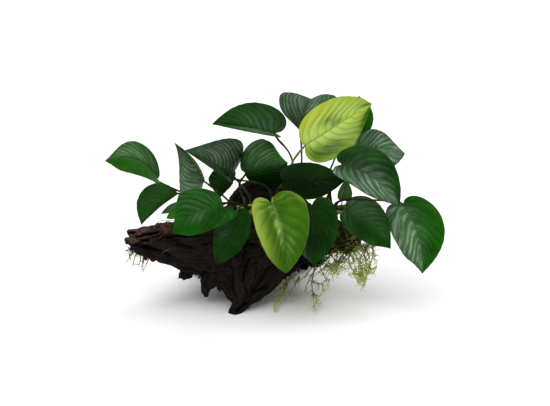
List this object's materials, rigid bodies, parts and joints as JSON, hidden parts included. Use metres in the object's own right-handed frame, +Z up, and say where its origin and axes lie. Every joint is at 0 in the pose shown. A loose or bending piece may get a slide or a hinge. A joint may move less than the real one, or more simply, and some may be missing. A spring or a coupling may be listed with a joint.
{
  "type": "anubias on driftwood",
  "caption": "Broad-leaved water plant on a gnarled dark piece of driftwood: heart-shaped leaves on stalks from a creeping rhizome, with fine hanging roots.",
  "frame": {"origin": "middle of the whole object's footprint, on the surface that the wood's feet stand on", "axes": "+Z up, +X along the length of the wood to the viewer's right, the leafy front toward -Y"},
  "size_m": [0.298, 0.1823, 0.1944],
  "materials": {
    "leaf_dark": "waxy satin dark green leaf",
    "leaf_green": "waxy satin mid green leaf",
    "leaf_lime": "waxy satin yellow-green leaf",
    "stalk": "smooth satin olive stalk",
    "rhizome": "ringed matt green stem",
    "driftwood": "rough dark waterlogged wood",
    "root": "matt yellow-green root"
  },
  "bodies": {
    "root": {"driftwood_trunk": "driftwood", "driftwood_left_limb": "driftwood", "driftwood_right_limb": "driftwood", "driftwood_front_foot": "driftwood", "driftwood_rear_left_foot": "driftwood", "driftwood_rear_right_foot": "driftwood", "rhizome": "rhizome", "leaf_far_left": "leaf_green", "leaf_lower_left": "leaf_dark", "leaf_upright_left": "leaf_dark", "leaf_upper_left": "leaf_dark", "leaf_left_front": "leaf_green", "leaf_small_back": "leaf_dark", "leaf_hanging_left": "leaf_dark", "leaf_lime_heart": "leaf_lime", "leaf_right_of_heart": "leaf_dark", "leaf_right_low": "leaf_dark", "leaf_far_right": "leaf_green", "leaf_right_big": "leaf_dark", "leaf_right_back": "leaf_dark", "leaf_lime_top": "leaf_lime", "leaf_top_middle": "leaf_dark", "leaf_behind_lime": "leaf_green", "leaf_top_left": "leaf_dark", "leaf_centre_folded": "leaf_green", "leaf_centre_dark": "leaf_dark", "leaf_young_leaf": "leaf_green", "leaf_side_shoot": "leaf_green", "leaf_side_bud": "leaf_green", "stalk_far_left": "stalk", "stalk_lower_left": "stalk", "stalk_upright_left": "stalk", "stalk_upper_left": "stalk", "stalk_left_front": "stalk", "stalk_small_back": "stalk", "stalk_hanging_left": "stalk", "stalk_lime_heart": "stalk", "stalk_right_of_heart": "stalk", "stalk_right_low": "stalk", "stalk_far_right": "stalk", "stalk_right_big": "stalk", "stalk_right_back": "stalk", "stalk_lime_top": "stalk", "stalk_top_middle": "stalk", "stalk_behind_lime": "stalk", "stalk_top_left": "stalk", "stalk_centre_folded": "stalk", "stalk_centre_dark": "stalk", "stalk_side_shoot": "stalk", "stalk_side_bud": "stalk", "roots_left": "root", "roots_front": "root", "roots_middle": "root", "roots_right": "root"}
  },
  "joints": []
}
